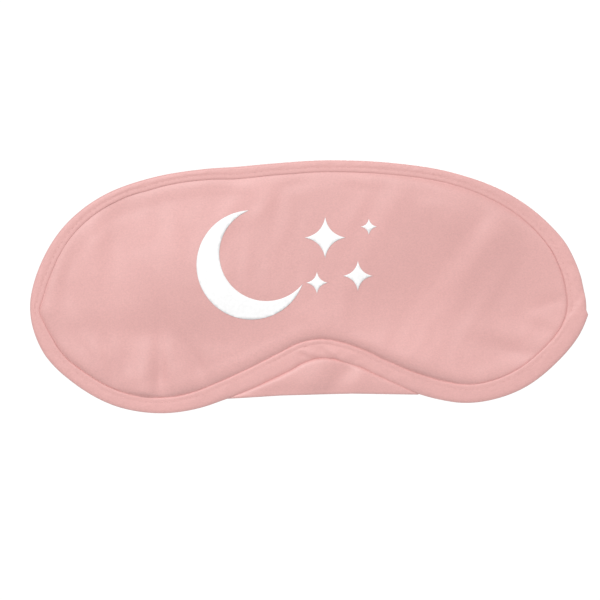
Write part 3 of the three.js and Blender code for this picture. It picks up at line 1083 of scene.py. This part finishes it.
def add_slider():
    """A moulded plate with two windows, rounded on every edge."""
    low, high = (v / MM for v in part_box("strap_slider"))
    soft = 0.7
    rim = 2.5
    curve = bpy.data.curves.new("slider_curve", "CURVE")
    curve.dimensions = "2D"
    curve.fill_mode = "BOTH"
    curve.bevel_depth = soft * MM
    curve.bevel_resolution = 5
    curve.offset = -soft * MM
    curve.extrude = ((high.y - low.y) / 2 - soft) * MM
    loops = [
        rounded_loop(low.x, high.x, low.z, high.z, 2.0),
        rounded_loop(1.5, 8.0, low.z + rim, high.z - rim, 0.9),
        rounded_loop(-8.0, -1.5, low.z + rim, high.z - rim, 0.9),
    ]
    for loop in loops:
        spline = curve.splines.new("POLY")
        spline.points.add(len(loop) - 1)
        for point, (x, z) in zip(spline.points, loop):
            point.co = (x * MM, z * MM, 0, 1)
        spline.use_cyclic_u = True
    shape = bpy.data.objects.new("slider_shape", curve)
    bpy.context.scene.collection.objects.link(shape)
    bpy.context.view_layer.update()
    evaluated = shape.evaluated_get(bpy.context.evaluated_depsgraph_get())
    mesh = bpy.data.meshes.new_from_object(evaluated)
    bpy.data.objects.remove(shape)
    middle = (low.y + high.y) / 2
    for v in mesh.vertices:
        x, z, y = v.co
        v.co = (x, y + middle * MM, z)
    mesh.name = "moulded_slider"
    mesh.materials.clear()
    mesh.materials.append(plastic)
    slider = bpy.data.objects.new("moulded_slider", mesh)
    bpy.context.scene.collection.objects.link(slider)
    fix_normals(slider, join=0.01 * MM)
    for polygon in mesh.polygons:
        polygon.use_smooth = True
    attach(slider, "slider")
    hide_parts("strap_slider")


# ---------------------------------------------------------------- tacks and short seams

def thread_run(name, node, corners, radius, body):
    """One thread laid through the corners."""
    angles = np.linspace(0, 2 * math.pi, 7, endpoint=False)
    path = np.array(corners, float)
    along = np.gradient(path, axis=0)
    along /= np.linalg.norm(along, axis=1)[:, None]
    rings = []
    for p, a in zip(path, along):
        side = np.cross(a, (0, 1, 0))
        side /= max(np.linalg.norm(side), 1e-6)
        up = np.cross(side, a)
        rings.append([p + radius * (math.cos(t) * side + math.sin(t) * up) for t in angles])
    vertices, faces = rings_mesh(rings, False, True)
    run = make_object(name, vertices, faces, thread)
    fix_normals(run)
    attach(run, body)
    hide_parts(node)


TACK_WIDTH = 1.6
TACK_HEIGHT = 11.0


def bar_tack(name, node, x, y, body, passes):
    """A dense zigzag across the band, lying on its outer face."""
    corners = []
    for k in range(passes + 1):
        side = 1 if k % 2 else -1
        z = STRAP_Z - TACK_HEIGHT / 2 + TACK_HEIGHT * k / passes
        corners.append((x + side * TACK_WIDTH / 2 * 0.7, y + 0.14, z))
        corners.append((x + side * TACK_WIDTH / 2, y - 0.10, z + 0.10))
    thread_run(name, node, corners, 0.17, body)


def add_tacks():
    proud = STRAP_THICK / 2 + 0.05
    bar_tack("tack_left", "bar_tack_left", -96, SEAT_Y + proud, "mask", 26)
    bar_tack("tack_right", "bar_tack_right", 96, SEAT_Y + proud, "mask", 26)
    bar_tack("loop_tack", "loop_stitch", 23, bow_at(23) + PLY + proud, "slider", 16)
    bar_tack("tail_tack", "tail_stitch", 39, tail_at(39) + proud, "strap_tail", 16)


# ---------------------------------------------------------------- print

# Middle and radius of the moon, of the circle cut out of it and of the stars.
MOON = (-21, 17, 20)
MOON_BITE = (-15.5, 21, 17.2)
STARS = [(6, 27, 7.5), (18, 13, 5.5), (3, 10.5, 4), (22, 31, 3)]
# How far the film stands off the cloth, and its thickness.
FILM_LIFT = 0.10
FILM = 0.05


def moon_outline():
    """The crescent between two circles that cross."""
    x, z, radius = MOON
    bx, bz, bite = MOON_BITE
    apart = math.hypot(bx - x, bz - z)
    facing = math.atan2(bz - z, bx - x)
    half = math.acos((apart**2 + radius**2 - bite**2) / (2 * apart * radius))
    half_bite = math.acos((apart**2 + bite**2 - radius**2) / (2 * apart * bite))
    outline = []
    for a in np.linspace(facing + half, facing + 2 * math.pi - half, 90):
        outline.append((x + radius * math.cos(a), z + radius * math.sin(a)))
    start = facing + math.pi + half_bite
    for a in np.linspace(start, start - 2 * half_bite, 80)[1:-1]:
        outline.append((bx + bite * math.cos(a), bz + bite * math.sin(a)))
    return np.array(outline)


def star_outline(x, z, radius):
    """Four points with hollow sides."""
    outline = []
    for quarter in range(4):
        a = quarter * math.pi / 2
        tip = np.array((math.cos(a), math.sin(a)))
        after = np.array((math.cos(a + math.pi / 2), math.sin(a + math.pi / 2)))
        hollow = (tip + after) * 0.16
        for t in np.arange(10) / 10:
            p = (1 - t) ** 2 * tip + 2 * t * (1 - t) * hollow + t**2 * after
            outline.append((x + radius * p[0], z + radius * p[1]))
    return np.array(outline)


def add_print_shape(name, node, outline):
    points, triangles, _ = fill_loop(outline, 0.9)
    vertices = [(x, panel_y(x, z) - FILM_LIFT, z) for x, z in points]
    shape = make_object(name, vertices, triangles, film)
    solid = shape.modifiers.new("film", "SOLIDIFY")
    solid.thickness = FILM * MM
    solid.offset = 0
    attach(shape, "mask")
    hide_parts(node)


def add_print():
    add_print_shape("film_moon", "print_moon", moon_outline())
    for k, star in enumerate(STARS):
        add_print_shape(f"film_star_{k + 1}", f"print_star_{k + 1}", star_outline(*star))


# ---------------------------------------------------------------- build

satin = cloth_material("satin", (0.785, 0.424, 0.404), 0.53, 0.8)
lining_satin = cloth_material("lining", (0.785, 0.425, 0.405), 0.5, 0.7)
tape_satin = cloth_material("binding", (0.79, 0.43, 0.41), 0.55, 0.6, mottle=0.04, weave_depth=0.06)
thread = thread_material()
foam_stuff = foam_material()
film = film_material()
elastic = elastic_material()
plastic = plastic_material()

add_camera()
add_studio()
add_floor()
puckers = Puckers()
add_cover("satin_front", "front_panel", 1.1, panel_y, 1, satin)
add_cover("satin_lining", "back_lining", 1.6, lining_y, -1, lining_satin)
add_foam()
add_binding()
binding_stitches("stitches_front", "stitch_front", TAPE_FRONT - 0.07, -1)
binding_stitches("stitches_back", "stitch_back", TAPE_BACK - 0.10, 1)
add_nose_flap()
add_flap_stitches()
add_strap_right()
add_strap_left()
add_slider()
add_tail()
add_tacks()
add_print()
